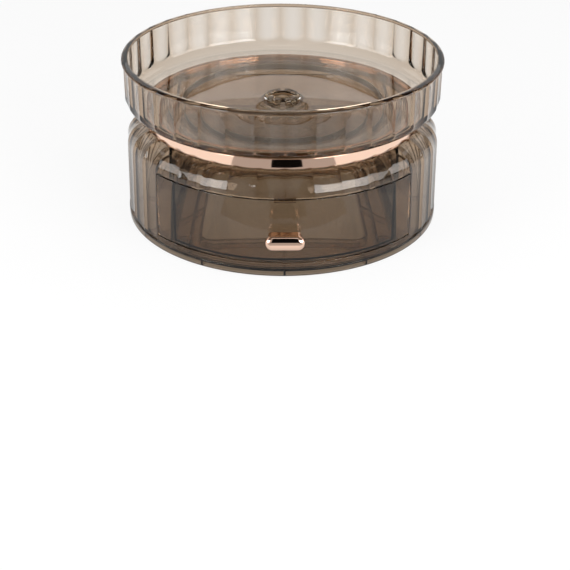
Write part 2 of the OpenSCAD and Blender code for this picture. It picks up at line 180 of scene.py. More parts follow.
class OrganizerFinish(bpy.types.PropertyGroup):
    """Colours and surfaces of the materials."""

    smoke_loss: shade("Smoke loss", "Share of each colour lost in one wall of smoke plastic", (0.25, 0.325, 0.405))
    # Painted shade: the foot plate's plastic is tinted deeper than the rest, standing in for the shade under the
    # organizer
    foot_shade_depth: number("Foot depth", "How much deeper the tint of the foot plate is", 1.5)
    smoke_rough: number("Smoke roughness", "Roughness of the plastic", 0.015)
    smoke_ripple: number("Smoke ripple", "Strength of the moulding ripple", 0.05)
    gold: shade("Rose gold", "Colour of the plating", (0.95, 0.66, 0.51))
    gold_rough: number("Gold roughness", "Roughness of the plating", 0.06)
    clear_loss: shade("Clear loss", "Share of each colour lost in one wall of clear plastic", (0.06, 0.07, 0.09))
    clear_rough: number("Clear roughness", "Roughness of the clear plastic", 0.04)
    # Painted shadow: the colour the floor takes under the foot
    under: shade("Under the foot", "Brightness of the floor that the organizer shades", (0.27, 0.23, 0.18))
    slip: shade("Glide plastic", "Colour of the milky glide ring", (0.35, 0.32, 0.28))
    rubber: shade("Rubber", "Colour of the foot pads", (0.62, 0.60, 0.56))


class OrganizerStage(bpy.types.PropertyGroup):
    """Floor, room, lamps and camera."""

    floor_colour: shade("Floor", "Colour of the pale floor", (0.86, 0.86, 0.86))
    floor_glow: number("Floor glow", "Share of the floor that shows as plain white", 0.86)
    # Painted shade: how dark the floor beside the foot shows in mirrors and through plastic
    near_shade_level: number("Near floor", "Brightness of the floor beside the foot, as plastic mirrors it", 0.6)
    near_reach: length("Near reach", "Where the floor has become white, from the foot", 0.12)
    fill: number("Fill", "Strength of the world on matt surfaces", 0.55)
    key: number("Key", "Brightness of the soft boxes, where white is 1", 6.5)
    dim_edge: length("Dim edge", "From the middle to where the dim floor starts", 0.2)
    dark_edge: length("Dark edge", "From the middle to where the dark floor starts", 0.247)
    room_half: turn("Dim room", "Half angle of the dim room", 39)
    floor_half: turn("Dim floor", "Half angle of the dim floor", 34)
    backdrop_half: turn("Backdrop", "Half angle of the white backdrop", 55)
    backdrop_top: turn("Backdrop top", "Elevation where the backdrop ends", 40)
    shade_top: turn("Shade top", "Elevation where the shaded foot of the backdrop ends", 21.5)
    shade_level: number("Shade level", "Brightness of the shaded foot of the backdrop", 0.5)
    wall_level: number("Wall level", "Brightness of the room's walls", 0.12)
    room_level: number("Room level", "Brightness of the dim room", 0.45)
    dark_level: number("Dark level", "Brightness of the room's dark middle", 0.004)
    dark_half: turn("Dark room", "Half angle of its dark middle", 10)
    dark_turn: turn("Dark room turn", "How far the dark middle lies to the right", 2)
    room_top: turn("Room top", "Elevation where the room ends", 83)
    lens: number("Lens", "Focal length on a 36 mm wide sensor", 77.8)


# Levels and radii that follow from the settings


def measures(s):
    """Everything that is worked out from the sizes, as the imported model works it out."""
    ground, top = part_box("foot_plate")[0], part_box("tray_bowl")[1]
    m = SimpleNamespace()
    m.rim_r = top.x
    m.crest_r = m.rim_r - s.crest_inset
    m.valley_r = m.crest_r * math.cos(math.pi / s.flutes) - s.flute_depth
    m.flute_drop = m.crest_r - m.valley_r
    m.z_skirt = ground.z
    m.z_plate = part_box("drum_shell")[0].z
    m.z_open_low = m.z_plate + s.sill_h
    m.z_front = m.z_open_low + s.front_gap
    m.z_runner = m.z_open_low + s.runner_step
    m.z_drawer = m.z_runner + s.slide_gap
    m.z_front_top = m.z_front + s.front_h
    m.z_drawer_top = m.z_front_top - s.side_drop
    m.z_open_top = m.z_front_top + s.front_gap
    m.z_shoulder = m.z_open_top - s.shoulder_drop
    m.z_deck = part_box("drum_shell")[1].z
    m.z_deck_under = m.z_deck - s.wall
    m.z_flange = m.z_deck + s.seat_gap
    m.z_rim = top.z
    m.z_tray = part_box("glide_ring")[1].z + s.slide_gap
    m.z_tray_floor = m.z_tray + s.tray_floor
    m.drum_foot_r = m.crest_r + s.drum_taper
    m.cavity_foot_r = m.drum_foot_r - m.flute_drop - s.wall
    m.cavity_r = m.valley_r - s.wall
    m.shoulder_axis_r = m.crest_r - s.shoulder_r
    m.neck_r = m.crest_r - s.neck_inset
    m.trim_bore_r = m.neck_r + s.seat_gap
    m.trim_r = m.trim_bore_r + s.trim_t
    m.shelf_z = m.z_shoulder + math.sqrt(s.shoulder_r**2 - (m.trim_r - m.shoulder_axis_r) ** 2)
    m.open_half_angle = s.front_half_angle + math.asin(s.front_gap / m.rim_r)
    m.front_r = m.crest_r - s.front_set
    m.front_in_r = m.front_r - s.front_t
    m.taper_rate = s.drum_taper / (m.z_shoulder - m.z_plate)
    m.front_foot_r = m.front_r + s.front_h * m.taper_rate
    m.bay_face_y = m.cavity_r * math.cos(m.open_half_angle) - s.slide_gap
    m.bay_rear = s.drawer_rear + s.rear_space
    m.drawer_half_w = s.bay_half_w - s.side_gap
    m.knob_axis_z = m.z_front + s.knob_z
    return m


# Mesh making


def column_angles(s):
    """Angles of the mesh columns: closer together beside each ridge."""
    step = 2 * math.pi / s.flutes
    across = np.sin(np.linspace(-math.pi / 2, math.pi / 2, COLUMNS_PER_FLUTE + 1)[:-1]) / 2
    return np.concatenate([FRONT + (flute + 0.5 + across) * step for flute in range(s.flutes)])


def soft_low(a, b, blend):
    """The lower of two values, with a rounded change from one to the other."""
    near = np.maximum(blend - np.abs(a - b), 0)
    return np.minimum(a, b) - near**2 / (4 * blend)


def fluted_radius(s, m, angles, depth):
    """Radius of the fluted outline: shallow hollow arcs that meet in ridges."""
    half = math.pi / s.flutes
    chord = m.crest_r * math.sin(half)
    hollow_r = (chord**2 + depth**2) / (2 * depth)
    axis = m.crest_r * math.cos(half) - depth + hollow_r
    off = (angles - FRONT) % (2 * half) - half

    def arc(off):
        return axis * np.cos(off) - np.sqrt(hollow_r**2 - (axis * np.sin(off)) ** 2)

    return soft_low(arc(off), arc(off - 2 * half * np.sign(off)), s.ridge_round)


def around(steps):
    """Angles of a full turn in equal steps."""
    return np.linspace(0, 2 * math.pi, steps + 1)[:-1]


def quarter(steps):
    """Angles of a quarter turn in equal steps, both ends included."""
    return [math.pi / 2 * k / steps for k in range(steps + 1)]


def arc_rows(radius, level, r, start, end, steps=4):
    """Rows of an arc: its middle, its radius and its angles in degrees."""
    turns = [math.radians(start + (end - start) * k / steps) for k in range(steps + 1)]
    return [(radius + r * math.cos(t), level + r * math.sin(t)) for t in turns]


def corner(edge, radius, level, r, steps=4):
    """Rows that round an edge; the radius and the level are those of the sharp edge."""
    middle = radius - r if edge in (OUT_TOP, OUT_LOW) else radius + r
    height = level - r if edge in (OUT_TOP, IN_TOP) else level + r
    return arc_rows(middle, height, r, edge, edge + 90, steps)


def new_piece(name, points, faces):
    """An object from points and faces."""
    mesh = bpy.data.meshes.new(name)
    mesh.from_pydata(points, [], faces)
    piece = bpy.data.objects.new(name, mesh)
    bpy.context.scene.collection.objects.link(piece)
    return piece


def grid_piece(name, points, closed_rows, closed_columns):
    """A skin over points[column][row]; rows or columns that aren't closed are capped."""
    columns, rows = points.shape[:2]
    index = np.arange(columns * rows).reshape(columns, rows)
    c = np.arange(columns if closed_columns else columns - 1)
    r = np.arange(rows if closed_rows else rows - 1)
    c, r = np.meshgrid(c, r, indexing="ij")
    c2, r2 = (c + 1) % columns, (r + 1) % rows
    faces = np.stack([index[c, r], index[c2, r], index[c2, r2], index[c, r2]], -1).reshape(-1, 4).tolist()
    if not closed_rows:
        faces += [index[::-1, 0].tolist(), index[:, -1].tolist()]
    if not closed_columns:
        faces += [index[0].tolist(), index[-1, ::-1].tolist()]
    return new_piece(name, points.reshape(-1, 3).tolist(), faces)


def turned(name, rows, angles, closed=True, full=True):
    """A turned solid: rows are (radius, level), anticlockwise, and both may differ with the angle."""
    radii = np.stack([np.broadcast_to(r, angles.shape) for r, z in rows], 1)
    levels = np.stack([np.broadcast_to(z, angles.shape) for r, z in rows], 1)
    cos, sin = np.cos(angles)[:, None], np.sin(angles)[:, None]
    return grid_piece(name, np.stack([radii * cos, radii * sin, levels], -1), closed, full)


def sector(name, rows, half_angle, angles_apart=0.004):
    """A turned solid that covers only an angle to each side of the front."""
    steps = max(8, round(2 * half_angle / angles_apart))
    angles = FRONT + np.linspace(-half_angle, half_angle, steps + 1)
    return turned(name, rows, angles, True, False)


def box_rows(r1, r2, z1, z2):
    """Rows of a square-edged ring."""
    return [(r1, z1), (r2, z1), (r2, z2), (r1, z2)]


def slab(name, layers):
    """A solid whose outline changes from layer to layer; each layer is (outline, level)."""
    points = np.stack([np.column_stack([outline, np.full(len(outline), level)]) for outline, level in layers], 1)
    return grid_piece(name, points, False, True)


def block(name, low, high):
    """A plain box that is joined to a piece or cut from it."""
    outline = np.array([[low[0], low[1]], [high[0], low[1]], [high[0], high[1]], [low[0], high[1]]])
    return slab(name, [(outline, low[2]), (outline, high[2])])


def side_block(name, side, x, y, z):
    """A plain box on the left, where side is -1, or on the right, where it is 1."""
    a, b = sorted((side * x[0], side * x[1]))
    return block(name, (a, y[0], z[0]), (b, y[1], z[1]))


def rod(name, r, low, high, place, steps=32):
    """A round rod along its own Z axis, moved by a matrix."""
    made = turned(name, [(r, low), (r, high)], around(steps), False)
    made.data.transform(place)
    return made


def round_outline(low, high, r, steps=12):
    """Anticlockwise outline of a rounded rectangle."""
    x1, y1, x2, y2 = low[0] + r, low[1] + r, high[0] - r, high[1] - r
    points = []
    for k, (x, y) in enumerate(((x2, y1), (x2, y2), (x1, y2), (x1, y1))):
        for j in range(steps + 1):
            t = math.radians(90 * (k - 1) + 90 * j / steps)
            points.append((x + r * math.cos(t), y + r * math.sin(t)))
    return np.array(points)


def shaped(piece, others, operation="UNION"):
    """Adds other solids to a piece, cuts them from it or keeps what they share, and removes them."""
    for other in others:
        tool = piece.modifiers.new("shape", "BOOLEAN")
        tool.operation, tool.object, tool.solver = operation, other, "MANIFOLD"
    ready = piece.evaluated_get(bpy.context.evaluated_depsgraph_get())
    mesh = bpy.data.meshes.new_from_object(ready)
    piece.modifiers.clear()
    if not mesh.polygons:
        raise RuntimeError(f"{piece.name}: nothing is left after {operation}")
    old, piece.data = piece.data, mesh
    mesh.name = piece.name
    bpy.data.meshes.remove(old)
    for other in others:
        bpy.data.meshes.remove(other.data)


def finish(piece, body, node, material, sharp=30):
    """Smooth shading, material, and the piece's place in the frame."""
    piece.data.shade_smooth()
    piece.data.set_sharp_from_angle(angle=math.radians(sharp))
    piece.data.materials.clear()
    piece.data.materials.append(material)
    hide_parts(node)
    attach(piece, body)


# Shader making


class Value:
    """A socket that can stand in a sum or a product."""

    def __init__(self, tree, socket):
        self.tree, self.socket = tree, socket

    def maths(self, operation, *values):
        return self.tree.node("ShaderNodeMath", {"operation": operation}, dict(enumerate(values)))[0]

    def __add__(self, other):
        return self.maths("ADD", self, other)

    def __mul__(self, other):
        return self.maths("MULTIPLY", self, other)

    def __rsub__(self, other):
        return self.maths("SUBTRACT", other, self)


class Shader:
    """The node tree of a material or of the world."""

    def __init__(self, owner):
        owner.use_nodes = True
        self.nodes, self.links = owner.node_tree.nodes, owner.node_tree.links
        self.nodes.clear()
        kind = "World" if owner.id_type == "WORLD" else "Material"
        self.output = self.nodes.new("ShaderNodeOutput" + kind)

    def node(self, kind, settings=None, inputs=None):
        """A node of that kind, its settings first, then values or links for its sockets; returns its outputs."""
        made = self.nodes.new(kind)
        for name, value in (settings or {}).items():
            setattr(made, name, value)
        for name, value in (inputs or {}).items():
            self.feed(made.inputs[name], value)
        return [Value(self, socket) for socket in made.outputs]

    def feed(self, socket, value):
        """Sets a socket, or links another one to it."""
        if isinstance(value, Value):
            self.links.new(value.socket, socket)
        else:
            socket.default_value = (*value, 1) if socket.type == "RGBA" and len(value) == 3 else value

    def show(self, **results):
        """Feeds the output's Surface or Volume."""
        for name, value in results.items():
            self.feed(self.output.inputs[name], value)


def material_of(name, build):
    """The material of that name, built on first use."""
    if name not in bpy.data.materials:
        build(Shader(bpy.data.materials.new(name)))
    return bpy.data.materials[name]


def ripple(tree, scale, distance, strength):
    """The faint long waves that a moulded surface has."""
    place = tree.node("ShaderNodeTexCoord")[3]
    waves = tree.node("ShaderNodeTexNoise", {}, {"Vector": place, "Scale": scale, "Detail": 2.0})[0]
    return tree.node("ShaderNodeBump", {}, {"Strength": strength, "Distance": distance, "Height": waves})[0]


def between(tree, value, low, high, start=0.0, end=1.0):
    """Goes evenly from start to end while the value rises from low to high."""
    sockets = {"Value": value, "From Min": low, "From Max": high, "To Min": start, "To Max": end}
    return tree.node("ShaderNodeMapRange", {}, sockets)[0]


def handling_marks(tree, low, high):
    """Roughness that varies a little where fingers and cloths have been."""
    place = tree.node("ShaderNodeTexCoord")[3]
    marks = tree.node("ShaderNodeTexNoise", {}, {"Vector": place, "Scale": 38.0, "Detail": 5.0})[0]
    return between(tree, marks, 0.35, 0.75, low, high)


def plastic(name, f, loss, wall, rough, ior=PLASTIC_IOR):
    """See-through plastic whose tint deepens with its thickness."""

    def build(tree):
        sockets = {
            "Base Color": (1, 1, 1),
            "Roughness": handling_marks(tree, rough / 2, rough * 2),
            "IOR": ior,
            "Transmission Weight": 1.0,
            "Normal": ripple(tree, 60.0, 0.0004, f.smoke_ripple),
        }
        per_metre = [-math.log(1 - share) / wall for share in loss]
        # More than the greatest loss, so that no part of the colour is 0
        density = max(per_metre) * 1.25
        tint = {"Color": [1 - part / density for part in per_metre], "Density": density}
        tree.show(
            Surface=tree.node("ShaderNodeBsdfPrincipled", {}, sockets)[0],
            Volume=tree.node("ShaderNodeVolumeAbsorption", {}, tint)[0],
        )

    return material_of(name, build)


def solid_material(name, sockets):
    """A material without depth; sockets gives the values of its shader."""
    return material_of(
        name, lambda tree: tree.show(Surface=tree.node("ShaderNodeBsdfPrincipled", {}, sockets(tree))[0])
    )


def smoke_plastic(s, f):
    return plastic("smoke_acrylic", f, f.smoke_loss, s.wall, f.smoke_rough)


# Painted shade: a darker copy of the smoke plastic for the foot plate, standing in for the shade under the organizer
def foot_shade_plastic(s, f):
    return plastic("shaded_smoke_acrylic", f, f.smoke_loss, s.wall / f.foot_shade_depth, f.smoke_rough)


def clear_plastic(s, f):
    return plastic("clear_acrylic", f, f.clear_loss, s.wall, f.clear_rough, CLEAR_IOR)


def rose_gold(f):
    """Mirror plating on moulded plastic."""
    return solid_material(
        "rose_gold_plating",
        lambda tree: {
            "Base Color": f.gold,
            "Metallic": 1.0,
            "Roughness": handling_marks(tree, f.gold_rough / 2, f.gold_rough * 1.5),
            "Normal": ripple(tree, 90.0, 0.0002, 0.03),
        },
    )


def milky_slip(f):
    """Slippery milky plastic of the glide ring."""
    return solid_material(
        "milky_slip",
        lambda tree: {"Base Color": f.slip, "Roughness": handling_marks(tree, 0.25, 0.4), "Transmission Weight": 0.6},
    )


def soft_rubber(f):
    """Dull rubber of the foot pads."""
    return solid_material(
        "soft_rubber",
        lambda tree: {
            "Base Color": f.rubber,
            "Roughness": handling_marks(tree, 0.55, 0.75),
            "Normal": ripple(tree, 900.0, 0.0001, 0.2),
        },
    )


# Pieces


class PieceOperator(bpy.types.Operator):
    """Base of the operators that make one piece."""

    bl_options = {"REGISTER", "UNDO"}

    def execute(self, context):
        sizes = context.scene.organizer_sizes
        self.make(sizes, measures(sizes), context.scene.organizer_finish)
        return {"FINISHED"}


def pad_places(s, m):
    """Level of the pads' tops, radius of a pad, and the places of the four pads."""
    top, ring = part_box("foot_pads")[1], m.rim_r - s.pad_inset
    places = [Matrix.Rotation(math.pi * (k / 2 + 0.25), 4, "Z") @ Matrix.Translation((ring, 0, 0)) for k in range(4)]
    return top.z, top.x - ring * math.cos(math.pi / 4), places


class ORGANIZER_OT_foot_plate(PieceOperator):
    """Makes the round foot plate with its skirt, ribs, window and runners."""

    bl_idname = "organizer.foot_plate"
    bl_label = "Foot plate"

    def make(self, s, m, f):
        e = s.edge
        under = m.z_plate - s.plate_web
        angles = column_angles(s)
        rows = [(0.001, under), (m.rim_r - s.wall, under)]
        rows += corner(IN_LOW, m.rim_r - s.wall, m.z_skirt, e) + corner(OUT_LOW, m.rim_r, m.z_skirt, e)
        rows += corner(OUT_TOP, m.rim_r, m.z_plate, e)
        ring_r = m.cavity_foot_r - s.slide_gap
        ring_in, ring_top = ring_r - s.rib, m.z_plate + s.locate_h
        rows += [(ring_r, m.z_plate)]
        rows += corner(OUT_TOP, ring_r, ring_top, e) + corner(IN_TOP, ring_in, ring_top, e)
        rows += [(ring_in, m.z_plate), (0.001, m.z_plate)]
        plate = turned("foot_plate_moulding", rows, angles, False)

        ribs = []
        for k in range(s.ribs):
            low, high = (0, -s.rib / 2, m.z_skirt + NUDGE), (m.rim_r - s.wall / 2, s.rib / 2, m.z_plate - PAST)
            rib = block("rib", low, high)
            rib.data.transform(Matrix.Rotation(2 * math.pi * k / s.ribs + FRONT, 4, "Z"))
            ribs.append(rib)
        border = m.z_plate + s.window_rim

        def window(grow):
            x = s.window_w / 2 + grow
            return round_outline((-x, -s.window_front - grow), (x, s.window_rear + grow), s.window_r + grow)

        layers = [(window(s.wall), m.z_skirt), (window(s.wall), border - e)]
        for t in (0.5, 1.0, math.pi / 2):
            layers.append((window(s.wall - e * (1 - math.cos(t))), border - e + e * math.sin(t)))
        ribs.append(slab("border", layers))
        x = s.bay_half_w - s.runner_inset
        # The runners start just behind the drawer's front
        start = math.sqrt((m.front_in_r - s.slide_gap) ** 2 - (x + s.wall / 2) ** 2)
        for side in (-1, 1):
            across = (x - s.wall / 2, x + s.wall / 2)
            ribs.append(side_block("runner", side, across, (-start, s.drawer_rear), (m.z_plate - PAST, m.z_runner)))
        top, pad_r, places = pad_places(s, m)
        sockets = []
        for place in places:
            ribs.append(rod("boss", pad_r + s.wall, m.z_skirt + 2 * NUDGE, m.z_plate - PAST, place, 64))
            sockets.append(rod("socket", pad_r + s.seat_gap, -PAST, top, place, 64))
        shaped(plate, ribs)
        hole = slab("window", [(window(0), -PAST), (window(0), border + PAST)])
        # The ring is open where the front walls of the drawer bay come down
        x, y = (s.bay_half_w, m.rim_r), (-m.bay_face_y - PAST, -m.bay_face_y + s.wall + PAST)
        gates = [side_block("gate", side, x, y, (m.z_plate, ring_top + PAST)) for side in (-1, 1)]
        shaped(plate, [hole] + sockets + gates, "DIFFERENCE")
        # The foot plate takes the darker smoke plastic that stands in for painted shade
        finish(plate, "base", "foot_plate", foot_shade_plastic(s, f))


class ORGANIZER_OT_foot_pads(PieceOperator):
    """Makes the four soft pads under the foot plate."""

    bl_idname = "organizer.foot_pads"
    bl_label = "Foot pads"

    def make(self, s, m, f):
        top, r, places = pad_places(s, m)
        dome = 0.0005
        rows = [(r / 4, 0.0)] + corner(OUT_LOW, r, 0, dome) + [(r, top), (r / 4, top)]
        pads = turned("foot_pads_soft", rows, around(64), False)
        points, faces = [], []
        for place in places:
            start = len(points)
            points += [place @ v.co for v in pads.data.vertices]
            faces += [[start + i for i in face.vertices] for face in pads.data.polygons]
        bpy.data.meshes.remove(pads.data)
        finish(new_piece("foot_pads_soft", points, faces), "base", "foot_pads", soft_rubber(f))


class ORGANIZER_OT_drum(PieceOperator):
    """Makes the fluted drum with its shoulder, neck, deck, drawer bay and sill."""

    bl_idname = "organizer.drum"
    bl_label = "Drum"

    def make(self, s, m, f):
        e = s.edge
        angles = column_angles(s)
        drop = m.crest_r - fluted_radius(s, m, angles, s.flute_depth)
        crease = 0.0004
        arc_r = s.shoulder_r - m.flute_drop - s.wall
        ceiling = m.z_shoulder + arc_r - crease
        neck_in = m.neck_r - s.wall

        rows = [(m.cavity_foot_r, m.z_plate), (m.drum_foot_r - e - drop, m.z_plate)]
        rows += [(m.drum_foot_r - drop, m.z_plate + e)]
        for share in (0.25, 0.5, 0.75):
            rows.append((m.drum_foot_r - s.drum_taper * share - drop, m.z_plate + (m.z_shoulder - m.z_plate) * share))
        # The flutes keep their depth over the shoulder, up to the trim ring
        bend = s.shoulder_r - drop
        last = np.arccos((m.trim_r - m.shoulder_axis_r) / bend)
        for k in range(41):
            t = last * k / 40
            rows.append((m.shoulder_axis_r + bend * np.cos(t), m.z_shoulder + bend * np.sin(t)))
        rows += [(m.neck_r, rows[-1][1])] + corner(OUT_TOP, m.neck_r, m.z_deck, e)
        half, z_groove = s.glide_w / 2 + s.seat_gap, m.z_deck - s.groove
        rows += [(s.glide_r + half, m.z_deck), (s.glide_r + half, z_groove)]
        rows += [(s.glide_r - half, z_groove), (s.glide_r - half, m.z_deck)]
        hole = s.spigot_r + s.seat_gap
        rows += [(hole, m.z_deck), (hole, m.z_deck_under)]
        rows += arc_rows(neck_in - PAST, m.z_deck_under - PAST, PAST, 90, 0)
        rows += corner(IN_LOW, neck_in, ceiling, e)
        first = math.degrees(math.asin(1 - crease / arc_r))
        rows += arc_rows(m.shoulder_axis_r, m.z_shoulder, arc_r, first, 0, 24)
        drum = turned("drum_moulding", rows, angles)
        rows = box_rows(m.cavity_r - s.shoulder_r / 2, m.rim_r + PAST, m.z_plate - PAST, m.z_open_top)
        shaped(drum, [sector("opening", rows, m.open_half_angle)], "DIFFERENCE")

        def hollow():
            """The drum's inside, a little larger, so that walls cut to it reach into the drum."""
            big, foot = arc_r + FUSE, m.cavity_foot_r + FUSE
            low, high = m.z_plate - PAST, m.z_deck_under + FUSE
            outline = [(0.001, low), (foot, low), (foot, m.z_plate)]
            last = math.degrees(math.asin(1 - crease / big))
            outline += arc_rows(m.shoulder_axis_r, m.z_shoulder, big, 0, last, 24)
            neck = neck_in + FUSE / 2
            outline += [(neck, m.z_shoulder + big - crease), (neck, high), (0.001, high)]
            return turned("hollow", outline, angles + 0.001, False)

        z, x = (m.z_plate + s.seat_gap, m.z_deck), s.bay_half_w + s.wall
        front, rear = -m.bay_face_y, m.bay_rear + s.wall
        bay = block("bay_rear", (-x, m.bay_rear, z[0]), (x, rear, z[1]))
        others = []
        for side in (-1, 1):
            others.append(side_block("bay_side", side, (s.bay_half_w, x), (front, rear), z))
            others.append(side_block("bay_face", side, (s.bay_half_w, m.rim_r), (front, front + s.wall), z))
        shaped(bay, others)
        shaped(bay, [hollow()], "INTERSECT")

        catch_half, catch_drop = 0.008, 0.003
        r = m.front_in_r - s.slide_gap
        rows = box_rows(r - s.wall, r, m.z_front_top - catch_drop, m.z_deck)
        catch = sector("catch", rows, math.asin(catch_half / r))
        shaped(catch, [hollow()], "INTERSECT")

        proud = 0.0001
        inner = m.cavity_foot_r + 4 * proud
        outer, outer_top = m.drum_foot_r + proud, m.drum_foot_r + proud - s.sill_h * m.taper_rate
        rows = [(inner, m.z_plate), (outer, m.z_plate)]
        rows += corner(OUT_TOP, outer_top, m.z_open_low, e) + [(inner, m.z_open_low)]
        lap = math.radians(0.3)
        sill = sector("sill", rows, m.open_half_angle + lap)

        x, y = (s.bay_half_w - STOP, s.bay_half_w + FUSE), (0.001 - m.bay_face_y, 0.001 - m.bay_face_y + STOP_L)
        stops = [side_block("stop", side, x, y, (m.z_drawer_top - STOP_H, m.z_drawer_top)) for side in (-1, 1)]
        shaped(drum, [bay, catch, sill] + stops)
        finish(drum, "base", "drum_shell", smoke_plastic(s, f))


def knob_place(m, x, y, way=1):
    """A place on the knob's level, where Z points out of the drawer, or into it where way is -1."""
    return Matrix.Translation((x, y, m.knob_axis_z)) @ Matrix.Rotation(way * math.pi / 2, 4, "X")


class ORGANIZER_OT_drawer(PieceOperator):
    """Makes the drawer: its curved front, floor, walls, lugs and peg holes."""

    bl_idname = "organizer.drawer"
    bl_label = "Drawer"

    def plan(self, s, m, inset, front):
        """Outline seen from above: the curved front, then the rounded rear corners."""
        half, r = m.drawer_half_w - inset, s.drawer_corner - inset
        reach = math.asin(half / front)
        points = [(front * math.sin(t), -front * math.cos(t)) for t in np.linspace(-reach, reach, 65)]
        for middle, start in ((1, 0), (-1, 90)):
            for k in range(13):
                t = math.radians(start + 90 * k / 12)
                x = middle * (m.drawer_half_w - s.drawer_corner)
                points.append((x + r * math.cos(t), s.drawer_rear - s.drawer_corner + r * math.sin(t)))
        return np.array(points)

    def make(self, s, m, f):
        e, wall, low, high = s.edge, s.drawer_wall, m.z_drawer, m.z_drawer_top
        # Radii of the bottom's edge, outside and inside
        bottom, inside = 0.001, 0.0006
        layers = []

        def layer(inset, level, back=0):
            layers.append((self.plan(s, m, inset, m.front_in_r + FUSE - back), level))

        for t in quarter(4):
            layer(bottom * (1 - math.sin(t)), low + bottom * (1 - math.cos(t)))
        for t in quarter(3):
            layer(e * (1 - math.cos(t)), high - e * (1 - math.sin(t)))
        for t in quarter(3):
            layer(wall - e * (1 - math.sin(t)), high - e * (1 - math.cos(t)), 0.0001)
        for t in quarter(4):
            layer(wall + inside * (1 - math.cos(t)), low + wall + inside * (1 - math.sin(t)), 0.0002)
        drawer = slab("drawer_moulding", layers)

        rows = corner(IN_LOW, m.front_in_r, m.z_front, e) + corner(OUT_LOW, m.front_foot_r, m.z_front, e)
        rows += corner(OUT_TOP, m.front_r, m.z_front_top, e) + corner(IN_TOP, m.front_in_r, m.z_front_top, e)
        panel = sector("front", rows, s.front_half_angle)
        end = s.drawer_rear - s.drawer_corner
        x, y = (m.drawer_half_w - FUSE, m.drawer_half_w + STOP), (end - STOP_L, end)
        lugs = [side_block("lug", side, x, y, (high - STOP_H, high)) for side in (-1, 1)]
        shaped(drawer, [panel] + lugs)
        holes = []
        for side in (-1, 1):
            place = knob_place(m, side * s.knob_w / 4, -m.front_r)
            holes.append(rod("peg_hole", s.peg_d / 2 + s.seat_gap, -0.005, 0.005, place))
        shaped(drawer, holes, "DIFFERENCE")
        finish(drawer, "drawer", "drawer_box", smoke_plastic(s, f))


class ORGANIZER_OT_knob(PieceOperator):
    """Makes the plated knob: a stadium head with soft edges on a narrower stem, and its pegs."""

    bl_idname = "organizer.knob"
    bl_label = "Knob"

    def stadium(self, w, h, inset):
        """Anticlockwise outline with round ends."""
        x, y = w / 2 - inset, h / 2 - inset
        return round_outline((-x, -y), (x, y), y - NUDGE, 24)

    def make(self, s, m, f):
        edge, w, h = s.knob_edge, s.knob_w, s.knob_h
        layers = [(self.stadium(w, h, edge * (1 - math.sin(t))), edge * (1 - math.cos(t))) for t in quarter(12)]
        for t in quarter(12):
            layers.append((self.stadium(w, h, edge * (1 - math.cos(t))), s.knob_t - edge * (1 - math.sin(t))))
        knob = slab("knob_plated", layers)
        y = -m.front_foot_r - s.stem_len
        place = knob_place(m, 0, y)
        knob.data.transform(place)
        shape = self.stadium(w - 2 * s.stem_inset, h - 2 * s.stem_inset, 0)
        stem = slab("stem", [(shape, -s.stem_len - 0.003), (shape, s.knob_t / 2)])
        stem.data.transform(place)
        rows = [(m.front_foot_r + s.seat_gap, m.z_front), (m.front_r + s.seat_gap, m.z_front_top)]
        shaped(stem, [turned("front", rows, around(512), False)], "DIFFERENCE")
        parts = [stem]
        for side in (-1, 1):
            place = knob_place(m, side * s.knob_w / 4, y, -1)
            parts.append(rod("peg", s.peg_d / 2, -FUSE, m.front_foot_r + s.stem_len - m.front_in_r + 0.001, place))
        shaped(knob, parts)
        finish(knob, "drawer", "drawer_knob", rose_gold(f))


class ORGANIZER_OT_trim_ring(PieceOperator):
    """Makes the plated ring around the neck, with its flange on the deck."""

    bl_idname = "organizer.trim_ring"
    bl_label = "Trim ring"

    def make(self, s, m, f):
        e, soft = s.edge, 0.0006
        low, high = m.shelf_z + s.seat_gap, m.z_flange + s.trim_flange_t
        rows = corner(IN_LOW, m.trim_bore_r, low, e) + corner(OUT_LOW, m.trim_r, low, e, 6)
        rows += corner(OUT_TOP, m.trim_r, high, soft, 8) + corner(IN_TOP, m.trim_r - s.trim_flange, high, e)
        rows += [(m.trim_r - s.trim_flange, m.z_flange), (m.trim_bore_r, m.z_flange)]
        finish(turned("trim_ring_plated", rows, around(720)), "base", "trim_ring", rose_gold(f))


class ORGANIZER_OT_glide_ring(PieceOperator):
    """Makes the slippery ring that carries the tray."""

    bl_idname = "organizer.glide_ring"
    bl_label = "Glide ring"

    def make(self, s, m, f):
        low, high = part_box("glide_ring")[0].z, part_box("glide_ring")[1].z
        r1, r2, e = s.glide_r - s.glide_w / 2, s.glide_r + s.glide_w / 2, 2 * s.edge
        rows = [(r1, low), (r2, low)]
        rows += corner(OUT_TOP, r2, high, e) + corner(IN_TOP, r1, high, e)
        finish(turned("glide_ring_slip", rows, around(360)), "base", "glide_ring", milky_slip(f))


